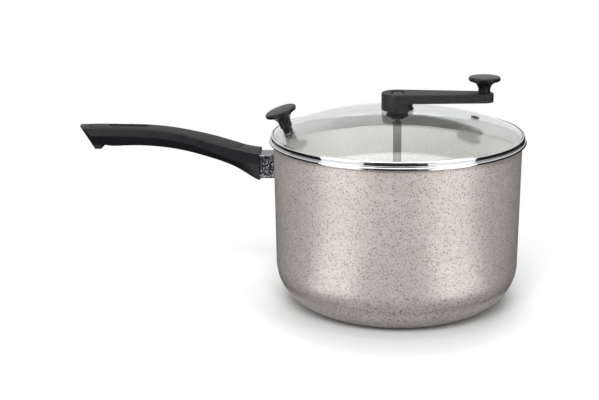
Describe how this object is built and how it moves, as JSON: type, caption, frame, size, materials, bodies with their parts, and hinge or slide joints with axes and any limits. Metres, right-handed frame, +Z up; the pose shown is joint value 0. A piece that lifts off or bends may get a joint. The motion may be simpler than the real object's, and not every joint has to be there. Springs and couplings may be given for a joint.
{
  "type": "stovetop popcorn popper",
  "caption": "Straight-sided stovetop pan with a long handle and a domed glass lid, through which a hand crank turns a wire stirrer over the floor of the pan.",
  "frame": {"origin": "on the pan's axis, in the plane that the pan stands on", "axes": "+Z up along the pan's and the crank's axis, the handle along -X, the crank's arm at rest along +X"},
  "size_m": [0.4099, 0.234, 0.2127],
  "materials": {
    "pot_coat": "speckled satin non-stick coat on aluminium",
    "bracket_metal": "dark speckled coat on cast aluminium",
    "handle_plastic": "satin phenolic",
    "inlay_plastic": "fine matte grain",
    "glass": "clear tempered glass",
    "polished_steel": "mirror-polished stainless steel",
    "plain_steel": "plain steel",
    "brass": "plain brass",
    "shaft_metal": "drawn aluminium",
    "knob_plastic": "satin phenolic",
    "crank_plastic": "matte moulded plastic",
    "gasket_rubber": "silicone",
    "slip_plastic": "natural slip plastic"
  },
  "bodies": {
    "pot": {"pot_body": "pot_coat", "handle_bracket": "bracket_metal", "bracket_rivets": "plain_steel", "handle_body": "handle_plastic", "handle_grip": "inlay_plastic", "handle_screw": "plain_steel"},
    "lid": {"glass_lid": "glass", "lid_rim": "polished_steel", "vent_eyelet": "polished_steel", "lid_knob": "knob_plastic", "lid_knob_insert": "brass", "lid_knob_spacer": "plain_steel", "lid_knob_gasket": "gasket_rubber", "lid_knob_screw": "plain_steel", "shaft_bush": "brass", "bush_gasket_upper": "gasket_rubber", "bush_gasket_lower": "gasket_rubber", "bush_nut": "plain_steel"},
    "crank": {"crank_arm": "crank_plastic", "crank_screw": "plain_steel", "crank_screw_washer": "plain_steel", "thrust_washer": "slip_plastic", "stir_shaft": "shaft_metal", "shaft_clip": "plain_steel", "stirrer_hub": "shaft_metal", "stirrer_pin": "plain_steel", "stirrer_arms": "plain_steel"},
    "crank_knob": {"crank_knob": "knob_plastic", "crank_knob_insert": "brass", "crank_knob_screw": "plain_steel"}
  },
  "joints": [
    {"name": "lid_lift", "type": "slide", "parent": "pot", "child": "lid", "axis": [0, 0, 1], "range_m": [0, 0.2]},
    {"name": "crank_spin", "type": "hinge", "parent": "lid", "child": "crank", "pos_m": [0, 0, 0.184], "axis": [0, 0, 1], "continuous": true},
    {"name": "crank_knob_spin", "type": "hinge", "parent": "crank", "child": "crank_knob", "pos_m": [0.0778, 0, 0.1984], "axis": [0, 0, 1], "continuous": true}
  ]
}
